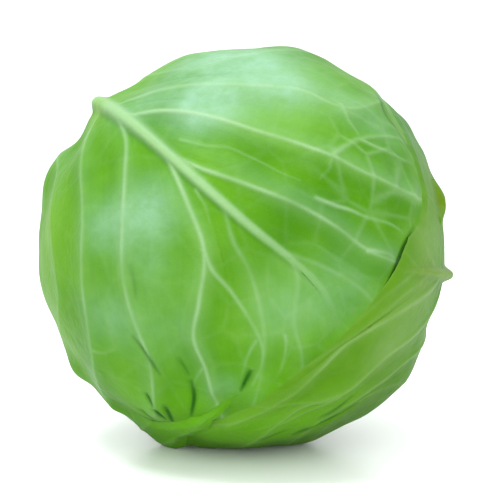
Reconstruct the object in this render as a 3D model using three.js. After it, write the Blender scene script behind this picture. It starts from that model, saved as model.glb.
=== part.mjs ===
import * as THREE from 'three';

// A head of cabbage lying on its side, in millimetres and degrees, with +Z up.
// The cut stem points to the back, the tips of the leaves wrap round to the front.

// Head
const HEAD_RADIUS = 85;
const FLAT_RADIUS = 16;
const FLAT_CLEAR = 0.5;
const FLAT_FADE = 4;
const HEAD_HEIGHT = Math.sqrt(HEAD_RADIUS ** 2 - FLAT_RADIUS ** 2);

// Leaves: every leaf presses down the ones beneath it, inside its margin and a little beyond
const BLADE_THICKNESS = 1.1;
const RIM_PRESS = { gap: 2.2, full: 4, fade: 10 };
const OUTER_PRESS = { gap: 2, full: 6, fade: 12 };
const INNER_PRESS = { gap: 3.3, full: 10, fade: 20 };
const HEART_PRESS = { gap: 3.2, full: 12, fade: 20 };

// Ribs and midribs stand out of the blades
const MIDRIB_HEIGHT_BASE = 5;
const MIDRIB_HEIGHT_TIP = 0.3;
const MIDRIB_FOOT_BASE = 6.5;
const MIDRIB_FOOT_TIP = 1.6;
const MIDRIB_TAPER = 0.7;
const RIB_HEIGHT_ROOT = 1.5;
const RIB_HEIGHT_END = 0.4;
const RIB_FOOT_ROOT = 3.2;
const RIB_FOOT_END = 1.8;
const RIB_FOOT_SHARE = 0.3;
const MARGIN_LIFT = 0.9;
const MARGIN_BULGE = 0.2;
const MIDRIB_STEPS = 16;
const TIP_STEPS = [0, 0.35, 0.7, 1];
const VALLEY_SPACING = 17;

// Base of a leaf, clasping the stem: two steps round it and away from it
const CLASP_STEPS = [{ turn: 24, rise: 0.4 }, { turn: 36, rise: 6 }];

// Inner leaves, straight out from the stem: rib pairs, widest a third of the way along
const INNER_MIDRIB = [40, 70, 95];
const INNER_KNEE = 60;
const INNER_KNEE_HEIGHT = 3.6;
const INNER_TIP_SHARE = 0.88;
const INNER_TIP_GAP = 1.2;
const INNER_RIB_RUN = { first: 16, last: 10 };
const INNER_RIB_BEND = { across: 0.5, along: 0.4 };
const INNER_WIDTH_ARC = { from: 0.36, to: 0.86 };
const INNER_SHOULDER = { width: 0.86, rise: 17 };

// Stem, cut off level
const STEM_RADIUS_ROOT = 15;
const STEM_RADIUS_CUT = 13;
const STEM_ROOT_AT = 70;
const STEM_CUT_AT = 87;
const STEM_WAIST = { along: 0.55, taper: 0.4 };
const STEM_CHAMFER = { along: 1.2, across: 1 };
const STEM_SIDES = 30;
const STEM_SCAR_DEPTH = 0.9;
const STEM_SCARS = 5;
const STEM_GAP = 0.4;
const LEAF_BASE_ANGLE = 12.6;

// Heart of tightly packed inner leaves, with their rims as low steps
const HEART_DETAIL = 8;
const HEART_LEAVES = 3;
const HEART_STEP = 1.5;
const HEART_TWIST = 0.6;

// Front view of the head: where its outline sits, and how far off and how high the eye is
const VIEW_CENTRE_X = 242.5;
const VIEW_CENTRE_Y = 246;
const VIEW_RADIUS = 202;
const VIEW_DISTANCE = 10.6;
const VIEW_ELEVATION = 8;

// Searches: steps along a path, and how near a triangle's corner has to point to be looked at
const SEARCH_STEPS = 400;
const NEARBY = 0.5;

const rad = THREE.MathUtils.degToRad;
const lerp = THREE.MathUtils.lerp;
const smooth = THREE.MathUtils.smoothstep;

const viewRight = new THREE.Vector3(1, 0, 0);
const viewUp = new THREE.Vector3(0, Math.sin(rad(VIEW_ELEVATION)), Math.cos(rad(VIEW_ELEVATION)));
const viewNear = new THREE.Vector3().crossVectors(viewRight, viewUp);

function fromView(right, up, near) {
  const direction = new THREE.Vector3();
  direction.addScaledVector(viewRight, right);
  direction.addScaledVector(viewUp, up);
  direction.addScaledVector(viewNear, near);
  return direction.normalize();
}

// Direction from the head's centre to the surface point seen at (x, y) in the front view
function seen(x, y) {
  const offset = Math.hypot(x - VIEW_CENTRE_X, y - VIEW_CENTRE_Y);
  const turn = Math.atan2(VIEW_CENTRE_Y - y, x - VIEW_CENTRE_X);
  const edge = Math.asin(1 / VIEW_DISTANCE);
  const share = Math.min(offset / VIEW_RADIUS, 0.9999);
  const ray = Math.atan(share * Math.tan(edge));
  const reach = VIEW_DISTANCE * Math.cos(ray) - Math.sqrt(1 - (VIEW_DISTANCE * Math.sin(ray)) ** 2);
  const away = Math.atan2(reach * Math.sin(ray), VIEW_DISTANCE - reach * Math.cos(ray));
  return fromView(Math.sin(away) * Math.cos(turn), Math.sin(away) * Math.sin(turn), Math.cos(away));
}

// Direction on the rim of the front view, at an angle from its right, leaning to the front
function rim(angle, lean = 0) {
  const out = Math.cos(rad(lean));
  return fromView(out * Math.cos(rad(angle)), out * Math.sin(rad(angle)), Math.sin(rad(lean)));
}

// The stem leaves the back of the head, a little to the left
const stemAxis = fromView(-0.189, 0.176, -0.966);
const stemRight = viewRight.clone().addScaledVector(stemAxis, -viewRight.dot(stemAxis)).normalize();
const stemUp = new THREE.Vector3().crossVectors(stemRight, stemAxis);

// Direction at an angle round the stem, as seen from the front, and an angle away from it
function round(turn, away) {
  const direction = stemAxis.clone().multiplyScalar(Math.cos(rad(away)));
  direction.addScaledVector(stemRight, Math.sin(rad(away)) * Math.cos(rad(turn)));
  direction.addScaledVector(stemUp, Math.sin(rad(away)) * Math.sin(rad(turn)));
  return direction;
}

// Direction under the head: turn from the front towards the right, and angle from straight down
function under(turn, away) {
  const side = Math.sin(rad(away));
  return new THREE.Vector3(side * Math.sin(rad(turn)), -side * Math.cos(rad(turn)), -Math.cos(rad(away)));
}

// Swellings and hollows of the head: where, how high and how wide
const SWELLINGS = [
  { at: rim(2), height: -1.2, width: 6 },
  { at: rim(13.5), height: 3.4, width: 5.5 },
  { at: rim(27), height: 1.4, width: 6 },
  { at: rim(37), height: 1.5, width: 5 },
  { at: rim(45), height: 1.6, width: 14 },
  { at: rim(50), height: 1.5, width: 5 },
  { at: rim(75), height: 2.8, width: 10 },
  { at: rim(94), height: -2.2, width: 12 },
  { at: rim(122), height: -4.8, width: 9 },
  { at: rim(121, 17), height: -3, width: 10 },
  { at: rim(123, -17), height: -3, width: 10 },
  { at: rim(145), height: -4.2, width: 7 },
  { at: rim(147, 15), height: -2.2, width: 8 },
  { at: rim(144, -15), height: -2.6, width: 8 },
  { at: rim(161), height: 4.2, width: 8 },
  { at: rim(175), height: 1.4, width: 6 },
  { at: rim(190), height: 1.8, width: 10 },
  { at: rim(217), height: 4.4, width: 6 },
  { at: rim(230.5), height: 2.4, width: 5.5 },
  { at: rim(238), height: 0.8, width: 8 },
  { at: rim(250), height: 5, width: 10 },
  { at: rim(291), height: 3.2, width: 9 },
  { at: rim(299), height: 2.6, width: 7 },
  { at: rim(321), height: 5, width: 12 },
  { at: rim(341), height: -4, width: 8 },
  { at: rim(355), height: -1.6, width: 5 },
];

function headRadius(direction) {
  let radius = HEAD_RADIUS;
  for (const { at, height, width } of SWELLINGS) {
    const apart = direction.angleTo(at) / rad(width);
    radius += height * Math.exp(-apart * apart);
  }
  return radius;
}

// A point at a depth under the head's surface. Over the flat spot, every layer moves up alike
function place(direction, depth) {
  const surface = headRadius(direction);
  const lift = Math.max(0, -(HEAD_HEIGHT + surface * direction.z));
  const point = direction.clone().multiplyScalar(surface - depth);
  point.z += HEAD_HEIGHT + lift;
  return point;
}

function curve(points) {
  return new THREE.CatmullRomCurve3(points, false, 'centripetal');
}

function along(path, share) {
  return path.getPointAt(Math.min(share, 1)).normalize();
}

function shareNearest(path, direction) {
  let best = 0;
  let least = Infinity;
  for (let step = 0; step <= SEARCH_STEPS; step += 1) {
    const apart = along(path, step / SEARCH_STEPS).distanceTo(direction);
    if (apart < least) {
      least = apart;
      best = step / SEARCH_STEPS;
    }
  }
  return best;
}

function between(from, to, share) {
  return from.clone().lerp(to, share).normalize();
}

// Height and half width of a midrib along its length: thick up to its knee, fading to the tip
function midribHeight(share, knee) {
  if (share < knee.share) return lerp(MIDRIB_HEIGHT_BASE, knee.height, share / knee.share);
  return lerp(knee.height, MIDRIB_HEIGHT_TIP, ((share - knee.share) / (1 - knee.share)) ** MIDRIB_TAPER);
}

function midribFoot(share) {
  return lerp(MIDRIB_FOOT_BASE, MIDRIB_FOOT_TIP, share ** MIDRIB_TAPER);
}

// A leaf laid out on the unit sphere: vertices with their relief, and triangles
class Sheet {
  constructor() {
    this.vertices = [];
    this.triangles = [];
    this.known = new Map();
  }

  vertex(direction, relief) {
    const key = direction.toArray().map((value) => value.toFixed(6)).join();
    if (!this.known.has(key)) {
      this.known.set(key, this.vertices.length);
      this.vertices.push({ direction, relief });
    }
    return this.known.get(key);
  }

  triangle(a, b, c, flipped) {
    if (a === b || b === c || c === a) return;
    this.triangles.push(flipped ? [a, c, b] : [a, b, c]);
  }

  // Triangles between two lines of vertices, each given with its shares along the same path
  zip(first, second, flipped) {
    let i = 0;
    let j = 0;
    while (i < first.length - 1 || j < second.length - 1) {
      const nextFirst = i < first.length - 1 ? first[i + 1].share : Infinity;
      const nextSecond = j < second.length - 1 ? second[j + 1].share : Infinity;
      if (nextFirst <= nextSecond) {
        this.triangle(first[i].id, first[i + 1].id, second[j].id, flipped);
        i += 1;
      } else {
        this.triangle(first[i].id, second[j + 1].id, second[j].id, flipped);
        j += 1;
      }
    }
  }

  // Edges that belong to one triangle only
  border() {
    const edges = new Map();
    for (const [a, b, c] of this.triangles) {
      for (const [from, to] of [[a, b], [b, c], [c, a]]) {
        if (edges.has(`${to} ${from}`)) edges.delete(`${to} ${from}`);
        else edges.set(`${from} ${to}`, [from, to]);
      }
    }
    return [...edges.values()];
  }
}

// Columns across one side of a leaf: both feet and the crest of each rib, and valleys between ribs
function columnsAcross(lines, row, rows) {
  const share = row / rows;
  const points = lines.map(({ path, foot }) => {
    const footShare = foot / (HEAD_RADIUS * path.length);
    return along(path, lerp(footShare, 1, share));
  });
  const columns = [];
  points.forEach((point, index) => {
    const isRib = index > 0 && index < points.length - 1;
    const height = isRib ? lerp(RIB_HEIGHT_ROOT, RIB_HEIGHT_END, share) : 0;
    const footWidth = lerp(RIB_FOOT_ROOT, RIB_FOOT_END, share);
    const footBeside = (other) => {
      const apart = HEAD_RADIUS * point.distanceTo(other);
      return between(point, other, Math.min(RIB_FOOT_SHARE, footWidth / Math.max(apart, 1e-6)));
    };
    if (isRib) columns.push({ direction: footBeside(points[index - 1]), relief: 0 });
    columns.push({ direction: point, relief: height });
    if (isRib) columns.push({ direction: footBeside(points[index + 1]), relief: 0 });
    for (let valley = 1; valley <= lines[index].valleys; valley += 1) {
      const across = valley / (lines[index].valleys + 1);
      const direction = between(point, points[index + 1], across);
      columns.push({ direction, relief: 0, wave: Math.sin(Math.PI * across) });
    }
  });
  return columns;
}

function valleysBetween(line, next) {
  if (!next) return 0;
  const apart = HEAD_RADIUS * along(line.path, 1).distanceTo(along(next.path, 1));
  return Math.max(1, Math.round(apart / VALLEY_SPACING) - 1);
}

function addSide(sheet, leaf, ribs, edge, flipped, midrib, knee, tipShare) {
  const lines = [{ points: edge, share: 0 }];
  for (const rib of ribs) {
    const share = shareNearest(midrib, rib[0]);
    lines.push({ points: [along(midrib, share), ...rib.slice(1)], share });
  }
  const tip = TIP_STEPS.map((step) => along(midrib, lerp(tipShare, 1, step)));
  lines.push({ points: tip, share: tipShare, isTip: true });
  for (const line of lines) {
    line.path = curve(line.points);
    line.path.length = line.path.getLength();
    line.foot = line.isTip ? 0 : midribFoot(line.share);
  }
  lines.forEach((line, index) => {
    line.valleys = valleysBetween(line, lines[index + 1]);
  });

  const grid = [];
  for (let row = 0; row <= leaf.rows; row += 1) {
    const columns = columnsAcross(lines, row, leaf.rows);
    grid.push(columns.map((column, index) => {
      const { direction } = column;
      let { relief } = column;
      const isTip = index === columns.length - 1;
      if (isTip) relief = midribHeight(lerp(tipShare, 1, row / leaf.rows), knee);
      if (row === leaf.rows && column.wave) {
        const before = sheet.vertices[grid[row - 1][index]].direction;
        const outwards = direction.clone().sub(before);
        direction.addScaledVector(outwards, MARGIN_BULGE * column.wave).normalize();
        relief = MARGIN_LIFT * column.wave;
      }
      return sheet.vertex(direction, relief);
    }));
  }
  for (let row = 0; row < leaf.rows; row += 1) {
    for (let index = 0; index < grid[row].length - 1; index += 1) {
      const [a, b] = [grid[row][index], grid[row][index + 1]];
      const [c, d] = [grid[row + 1][index + 1], grid[row + 1][index]];
      sheet.triangle(a, b, c, flipped);
      sheet.triangle(a, c, d, flipped);
    }
  }
  return grid[0].map((id) => ({ id, share: shareNearest(midrib, sheet.vertices[id].direction) }));
}

function layOut(leaf) {
  const sheet = new Sheet();
  const midrib = curve(leaf.midrib);
  const knee = { share: shareNearest(midrib, leaf.knee), height: leaf.kneeHeight };
  const tipShare = leaf.tipShare;
  const crest = [];
  for (let step = 0; step <= MIDRIB_STEPS; step += 1) {
    const share = tipShare * (step / MIDRIB_STEPS);
    crest.push({ id: sheet.vertex(along(midrib, share), midribHeight(share, knee)), share });
  }
  const left = addSide(sheet, leaf, leaf.leftRibs, leaf.leftEdge, false, midrib, knee, tipShare);
  const right = addSide(sheet, leaf, leaf.rightRibs, leaf.rightEdge, true, midrib, knee, tipShare);
  sheet.zip(crest, left, false);
  sheet.zip(crest, right, true);
  return sheet;
}

// How far a leaf covers a direction: 1 inside its margin, fading to 0 beyond it
function coverBy(sheet, direction, press) {
  const { vertices, triangles } = sheet;
  const side = new THREE.Vector3();
  const isLeft = (a, b) => {
    side.crossVectors(vertices[a].direction, vertices[b].direction);
    return side.dot(direction) >= 0;
  };
  for (const [a, b, c] of triangles) {
    if (vertices[a].direction.dot(direction) < NEARBY) continue;
    const first = isLeft(a, b);
    if (first === isLeft(b, c) && first === isLeft(c, a)) return 1;
  }
  sheet.borderLines ??= sheet.border().map(([from, to]) => (
    new THREE.Line3(vertices[from].direction, vertices[to].direction)
  ));
  const nearest = new THREE.Vector3();
  let apart = Infinity;
  for (const line of sheet.borderLines) {
    line.closestPointToPoint(direction, true, nearest);
    apart = Math.min(apart, nearest.distanceTo(direction));
  }
  return 1 - smooth(HEAD_RADIUS * apart, press.full, press.full + press.fade);
}

function coverOf(sheets, direction, press) {
  return sheets.reduce((sum, sheet) => sum + coverBy(sheet, direction, press), 0);
}

function solidFrom(triangles) {
  const geometry = new THREE.BufferGeometry();
  const numbers = triangles.flat().flatMap((point) => point.toArray());
  geometry.setAttribute('position', new THREE.Float32BufferAttribute(numbers, 3));
  geometry.computeVertexNormals();
  return geometry;
}

// A blade from its sheet: outer face with ribs, inner face split alike, and a rim all round
function bladeGeometry(sheet, sheetsOutside, press) {
  const outer = [];
  const inner = [];
  for (const { direction, relief } of sheet.vertices) {
    const cover = coverOf(sheetsOutside, direction, press);
    const depth = cover * (BLADE_THICKNESS + press.gap);
    const shown = relief * Math.max(0, 1 - cover) * (1 - overFlat(direction));
    outer.push(place(direction, depth - shown));
    inner.push(place(direction, depth + BLADE_THICKNESS));
  }
  const faces = [];
  for (const [a, b, c] of sheet.triangles) {
    faces.push([outer[a], outer[b], outer[c]]);
    faces.push([inner[a], inner[c], inner[b]]);
  }
  for (const [from, to] of sheet.border()) {
    faces.push([outer[from], inner[from], inner[to]]);
    faces.push([outer[from], inner[to], outer[to]]);
  }
  return solidFrom(faces);
}

// 1 over the flat spot that the head rests on, fading to 0 as the surface rises round it
function overFlat(direction) {
  const rise = HEAD_HEIGHT + headRadius(direction) * direction.z;
  return 1 - smooth(rise, FLAT_CLEAR, FLAT_CLEAR + FLAT_FADE);
}

function heartGeometry(sheets) {
  const shape = new THREE.IcosahedronGeometry(1, HEART_DETAIL).getAttribute('position');
  const corners = [];
  for (let index = 0; index < shape.count; index += 1) {
    const direction = new THREE.Vector3().fromBufferAttribute(shape, index).normalize();
    const away = direction.angleTo(stemAxis);
    const turn = Math.atan2(direction.dot(stemUp), direction.dot(stemRight));
    const spiral = HEART_LEAVES * (turn / (2 * Math.PI)) + HEART_TWIST * away + HEART_LEAVES;
    const step = HEART_STEP * (spiral - Math.floor(spiral)) * Math.sin(away);
    const cover = coverOf(sheets, direction, HEART_PRESS);
    const depth = HEART_PRESS.gap + step + cover * (BLADE_THICKNESS + HEART_PRESS.gap);
    const underStem = headRadius(direction) - (STEM_ROOT_AT - STEM_GAP) / Math.max(Math.cos(away), 0.1);
    corners.push(place(direction, Math.max(depth, underStem)));
  }
  const faces = [];
  for (let index = 0; index < corners.length; index += 3) faces.push(corners.slice(index, index + 3));
  return solidFrom(faces);
}

// Stem stump: a short taper along the stem axis, with shallow scars, cut off level
function stemGeometry() {
  const profile = [
    { at: STEM_ROOT_AT, radius: STEM_RADIUS_ROOT },
    {
      at: lerp(STEM_ROOT_AT, STEM_CUT_AT, STEM_WAIST.along),
      radius: lerp(STEM_RADIUS_ROOT, STEM_RADIUS_CUT, STEM_WAIST.taper),
    },
    { at: STEM_CUT_AT - STEM_CHAMFER.along, radius: STEM_RADIUS_CUT },
    { at: STEM_CUT_AT, radius: STEM_RADIUS_CUT - STEM_CHAMFER.across },
  ];
  const ringPoint = ({ at, radius }, side) => {
    const turn = (2 * Math.PI * side) / STEM_SIDES;
    const scarred = radius - STEM_SCAR_DEPTH * Math.max(0, Math.cos(STEM_SCARS * turn));
    const point = stemAxis.clone().multiplyScalar(at);
    point.addScaledVector(stemRight, scarred * Math.cos(turn));
    point.addScaledVector(stemUp, scarred * Math.sin(turn));
    point.z += HEAD_HEIGHT;
    return point;
  };
  const centre = (at) => stemAxis.clone().multiplyScalar(at).setZ(stemAxis.z * at + HEAD_HEIGHT);
  const faces = [];
  for (let side = 0; side < STEM_SIDES; side += 1) {
    const next = (side + 1) % STEM_SIDES;
    for (let ring = 0; ring < profile.length - 1; ring += 1) {
      const [a, b] = [ringPoint(profile[ring], side), ringPoint(profile[ring], next)];
      const [c, d] = [ringPoint(profile[ring + 1], next), ringPoint(profile[ring + 1], side)];
      faces.push([a, c, b], [a, d, c]);
    }
    const [low, high] = [profile[0], profile[profile.length - 1]];
    faces.push([centre(low.at), ringPoint(low, side), ringPoint(low, next)]);
    faces.push([centre(high.at), ringPoint(high, next), ringPoint(high, side)]);
  }
  return solidFrom(faces);
}

// The base of a leaf clasps the stem: the start of its edge, to one side
function clasp(turn, side) {
  const steps = CLASP_STEPS.map((step) => round(turn + side * step.turn, LEAF_BASE_ANGLE + step.rise));
  return [round(turn, LEAF_BASE_ANGLE), ...steps];
}

// An inner leaf by rule, at a turn round the stem, with its width and reach as angles
function innerLeaf({ turn, spread, reach, pairs, rows }) {
  const ribsOn = (side) => {
    const ribs = [];
    for (let pair = 1; pair <= pairs; pair += 1) {
      const from = lerp(LEAF_BASE_ANGLE, reach, pair / (pairs + INNER_TIP_GAP));
      const to = from + lerp(INNER_RIB_RUN.first, INNER_RIB_RUN.last, pair / pairs);
      const arc = lerp(INNER_WIDTH_ARC.from, INNER_WIDTH_ARC.to, pair / pairs);
      const wide = side * spread * Math.sin(Math.PI * arc);
      ribs.push([
        round(turn, from),
        round(turn + wide * INNER_RIB_BEND.across, lerp(from, to, INNER_RIB_BEND.along)),
        round(turn + wide, to),
      ]);
    }
    return ribs;
  };
  const edgeOn = (side) => [
    ...clasp(turn, side),
    round(turn + side * spread * INNER_SHOULDER.width, LEAF_BASE_ANGLE + INNER_SHOULDER.rise),
  ];
  return {
    midrib: [LEAF_BASE_ANGLE, ...INNER_MIDRIB, reach].map((away) => round(turn, away)),
    knee: round(turn, INNER_KNEE),
    kneeHeight: INNER_KNEE_HEIGHT,
    tipShare: INNER_TIP_SHARE,
    rows,
    leftEdge: edgeOn(-1),
    leftRibs: ribsOn(-1),
    rightEdge: edgeOn(1),
    rightRibs: ribsOn(1),
  };
}

const FRONT_LEAF = {
  rows: 12,
  tipShare: 0.9,
  knee: seen(97, 107),
  kneeHeight: 4.4,
  midrib: [
    round(137, LEAF_BASE_ANGLE), round(137, 45), seen(97, 107), seen(145, 136), seen(200, 183),
    seen(240, 216), seen(280, 247), seen(312, 280), seen(345, 345),
  ],
  leftEdge: [...clasp(137, -1), round(92, 36), round(78, 60)],
  leftRibs: [
    [round(137, 30), round(118, 46), round(96, 60), round(72, 72)],
    [round(137, 50), round(124, 74), seen(200, 66), seen(250, 54), round(60, 84)],
    [
      seen(108, 110), seen(140, 96), seen(175, 88), seen(225, 86), seen(270, 90), seen(345, 108),
      round(40, 82),
    ],
    [
      seen(124, 119), seen(165, 112), seen(200, 115), seen(290, 143), seen(370, 176), seen(418, 197),
      round(13, 86),
    ],
    [seen(170, 155), seen(200, 168), seen(250, 186), seen(300, 206), seen(365, 250), seen(418, 268)],
    [seen(283, 248), seen(318, 262), seen(352, 282), seen(385, 312)],
  ],
  rightEdge: [...clasp(137, 1), round(178, 36), round(188, 56)],
  rightRibs: [
    [round(137, 34), round(154, 48), round(176, 62), round(196, 72)],
    [round(137, 52), round(150, 70), seen(58, 180), seen(53, 250), seen(57, 300), round(216, 85)],
    [seen(100, 109), seen(87, 142), seen(84, 220), seen(83, 280), seen(104, 362), round(236, 84)],
    [seen(118, 116), seen(128, 150), seen(125, 200), seen(127, 305), seen(153, 368), round(249, 92)],
    [seen(165, 152), seen(187, 203), seen(205, 258), seen(194, 325), seen(206, 368), seen(222, 425)],
    [seen(224, 203), seen(233, 240), seen(248, 275), seen(263, 340), seen(256, 378), seen(252, 412)],
    [seen(292, 257), seen(298, 280), seen(294, 320), seen(302, 355), seen(304, 398)],
  ],
};

const RIGHT_LEAF = {
  rows: 12,
  tipShare: 0.93,
  knee: seen(450, 275),
  kneeHeight: 4.2,
  midrib: [
    round(-8, LEAF_BASE_ANGLE), round(-8, 45), round(-8, 75), seen(450, 275), seen(425, 271),
    seen(396, 269),
  ],
  rightEdge: [...clasp(-8, 1), round(34, 36), round(46, 58)],
  rightRibs: [
    [round(-8, 40), round(16, 55), round(38, 70), round(50, 82)],
    [round(-8, 72), round(8, 82), round(22, 88), seen(408, 142)],
    [seen(449, 273), seen(445, 245), seen(440, 215), seen(424, 186)],
    [seen(437, 273), seen(428, 252), seen(421, 226)],
    [seen(420, 271), seen(411, 259), seen(405, 249)],
  ],
  leftEdge: [...clasp(-8, -1), round(-46, 38), round(-54, 70)],
  leftRibs: [
    [round(-8, 45), round(-28, 58), round(-48, 72), round(-66, 79)],
    [round(-8, 66), round(-32, 80), seen(385, 386), seen(345, 409), round(-80, 84)],
    [round(-8, 84), seen(428, 335), seen(395, 370), seen(320, 420), under(70, 12), under(130, 28)],
    [seen(449, 279), seen(425, 320), seen(385, 358), seen(300, 408), under(-30, 11), under(-145, 28)],
    [seen(440, 274), seen(402, 310), seen(350, 344), seen(290, 395), seen(205, 432), under(-60, 30)],
    [seen(428, 271), seen(395, 303), seen(345, 342), seen(285, 381)],
    [seen(416, 271), seen(390, 292), seen(350, 328)],
  ],
};

const LOWER_LEAF = {
  rows: 10,
  tipShare: 0.92,
  knee: round(240, 78),
  kneeHeight: 2.4,
  midrib: [
    round(214, LEAF_BASE_ANGLE), round(224, 45), round(240, 78), seen(172, 436), seen(205, 420),
    seen(237, 397),
  ],
  leftEdge: [...clasp(214, -1), round(180, 36), round(176, 54)],
  leftRibs: [
    [round(220, 34), round(206, 50), round(188, 64)],
    [round(228, 54), round(214, 66), round(204, 74)],
    [round(235, 68), round(228, 76), round(222, 82)],
    [round(240, 80), round(240, 89), seen(150, 423)],
    [seen(190, 428), seen(188, 421)],
  ],
  rightEdge: [...clasp(214, 1), round(250, 34), round(257, 52)],
  rightRibs: [
    [round(220, 34), round(238, 50), round(256, 66)],
    [round(228, 54), round(242, 68), round(252, 80)],
    [round(238, 75), round(246, 86), round(252, 93)],
    [seen(185, 430), seen(193, 438)],
  ],
};

const UPPER_INNER_LEAF = innerLeaf({ turn: 58, spread: 46, reach: 112, pairs: 4, rows: 6 });
const LOWER_INNER_LEAF = innerLeaf({ turn: 278, spread: 46, reach: 112, pairs: 4, rows: 6 });

// Leaves from the outside of the head to the inside, with the colour of each
const LEAVES = [
  { name: 'lower_leaf', shape: LOWER_LEAF, press: RIM_PRESS, colour: 0x86bd55 },
  { name: 'right_leaf', shape: RIGHT_LEAF, press: RIM_PRESS, colour: 0x7fae50 },
  { name: 'front_leaf', shape: FRONT_LEAF, press: OUTER_PRESS, colour: 0x86c25c },
  { name: 'upper_inner_leaf', shape: UPPER_INNER_LEAF, press: INNER_PRESS, colour: 0x8fc766 },
  { name: 'lower_inner_leaf', shape: LOWER_INNER_LEAF, press: INNER_PRESS, colour: 0x8fc766 },
];
const HEART_COLOUR = 0xbcdc94;
const STEM_COLOUR = 0xd9e2b4;
const LEAF_ROUGHNESS = 0.5;
const STEM_ROUGHNESS = 0.7;

function piece(name, geometry, colour, roughness) {
  const material = new THREE.MeshStandardMaterial({ color: colour, roughness, metalness: 0 });
  const mesh = new THREE.Mesh(geometry, material);
  mesh.name = name;
  return mesh;
}

const cabbage = new THREE.Group();
cabbage.name = 'cabbage_head';
const sheets = [];
for (const { name, shape, press, colour } of LEAVES) {
  const sheet = layOut(shape);
  cabbage.add(piece(name, bladeGeometry(sheet, [...sheets], press), colour, LEAF_ROUGHNESS));
  sheets.push(sheet);
}
cabbage.add(piece('heart', heartGeometry(sheets), HEART_COLOUR, LEAF_ROUGHNESS));
cabbage.add(piece('stem', stemGeometry(), STEM_COLOUR, STEM_ROUGHNESS));

export default cabbage;
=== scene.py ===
import math

import bpy
import numpy as np
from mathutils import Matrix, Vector, kdtree
from mathutils.bvhtree import BVHTree


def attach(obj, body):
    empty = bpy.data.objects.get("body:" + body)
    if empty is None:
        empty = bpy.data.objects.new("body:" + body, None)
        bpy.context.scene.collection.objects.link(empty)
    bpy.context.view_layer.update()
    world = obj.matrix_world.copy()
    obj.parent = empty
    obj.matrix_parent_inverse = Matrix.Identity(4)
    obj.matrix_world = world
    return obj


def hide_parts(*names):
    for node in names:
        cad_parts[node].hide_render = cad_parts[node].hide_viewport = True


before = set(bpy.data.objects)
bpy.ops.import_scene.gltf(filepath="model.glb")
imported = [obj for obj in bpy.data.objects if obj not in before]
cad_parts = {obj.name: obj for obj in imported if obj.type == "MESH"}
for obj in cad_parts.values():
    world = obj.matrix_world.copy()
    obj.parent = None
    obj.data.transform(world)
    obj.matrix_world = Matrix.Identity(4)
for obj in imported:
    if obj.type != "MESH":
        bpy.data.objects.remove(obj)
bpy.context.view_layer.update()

# The head is laid out in millimetres, in the part's frame, and written to meshes in metres.
MM = 0.001
HEAD_RADIUS = 85.0
FLAT_RADIUS = 16.0
FLAT_CLEAR = 0.5
FLAT_FADE = 4.0
HEAD_HEIGHT = math.sqrt(HEAD_RADIUS ** 2 - FLAT_RADIUS ** 2)

# Waves start at random within about a full turn
FULL_TURN = 6.28

# Leaves: blades taper to their rims and press down the leaves beneath
BLADE = 1.3
BLADE_RIM = 0.12
RIM_OVER = 0.03
RIM_ROUND = 0.6
RIM_TAPER = 5.0
LEAF_GAP = 0.12
PRESS_FULL = 0.4
PRESS_FADE = 9.0
MARGIN_WIDTH = 0.9
CURL_FADE = 6.0
LEAF_BASE_ANGLE = 12.6
# Round the stem, a leaf's edge starts at these turns, this much further out
CLASP = ((0, 0), (24, 0.4), (36, 6))
# Waves of a margin: length and height
MARGIN_WAVES = ((34, 1.1), (17, 0.6), (8, 0.35), (4.1, 0.18))
MARGIN_CALM = 12.0
STREAK_LENGTHS = (2.2, 3.1, 4.3, 6.1, 8.7, 12.0)

# Grids of the leaves
FINE_STEP = 0.85
INNER_EVERY = 4
CONE_EVERY = 6
MIDRIB_POINTS = 801
LINE_POINTS = 401
EASE_ROUNDS = 60

# Relief: heights and widths, and where it fades out beside midribs and margins
MIDRIB_TIP = 0.25
MIDRIB_FOOT = 0.14
KNOB = 0.15
KNOB_LENGTH = 6.0
PLEAT_HEIGHT, PLEAT_WIDTH, PLEAT_FADE = 2.2, 8.0, 0.3
PLEAT_MEAN = 0.7
MIDRIB_CLEAR, PLEAT_FULL, HALO_FULL = 4, 20, 16
MARGIN_CLEAR, MARGIN_FULL = -2, 7
RIB_HEIGHT, RIB_WIDTH = 0.7, 1.7
FOLD_WIDTH = 2.8
# Finer veins, with how pale they are, and grooves
VEINS = (("veins", 0.6, 1.6, 0.8), ("fine", 0.3, 1.3, 0.4))
VEIN_PATCHY, VEIN_PATCH = 0.22, 20
# Grooves: depth and width; their masks darken the colour as painted shade
GROOVES = (("creases", 1.0, 2.1), ("shadows", 0.1, 2.0))
RELIEF_DEEPEST = -1.15
# Nets of small veins: step, width of a thread and share
NETS = ((17, 1.7, 0.85), (8, 1.0, 0.15))
NET_PLAIN = 0.13
NET_HEIGHT = 0.55
NET_JITTER = 0.33

# Slopes of the pleats towards the light, for painted shade and painted highlight: the light's direction, a
# step in millimetres, and how steep counts as full
LIGHT_FROM = np.array((-0.26, -0.1, 0.96))
SLOPE_STEP = 2.5
SLOPE_FULL = 0.4

# Unevenness that all layers share: height, length and seed of the bumps
UNEVEN = ((0.45, 46, 3), (0.16, 17, 4))
UNEVEN_WAVES = 16
RIPPLE_WAVES = 12
TONE_LENGTH = 60

# Stem, cut off level, and the heart of packed leaves
STEM_ROOT_AT = 70.0
STEM_CUT_AT = 87.0
STEM_RADIUS_ROOT = 15.0
STEM_RADIUS_CUT = 13.0
STEM_SCARS = 5
STEM_SCAR_DEPTH = 0.9
STEM_SIDES = 120
STEM_RINGS = 24
STEM_ROUND = 1.2
STEM_ROUGH = 0.12
CUT_RINGS = 19
CUT_MARKS = 0.15
HEART_DEPTH = 1.6
HEART_LEAVES = 3
HEART_STEP = 1.5
HEART_TWIST = 0.6
HEART_RINGS, HEART_SIDES = 150, 240
# Waves of its rims: height, pitch and start
HEART_WAVES = ((0.02, 9, 0), (0.012, 23, 1))
HEART_RIB_HEIGHT, HEART_RIB_WIDTH = 0.9, 2.0
HEART_STEM_GAP = 0.4

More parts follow.
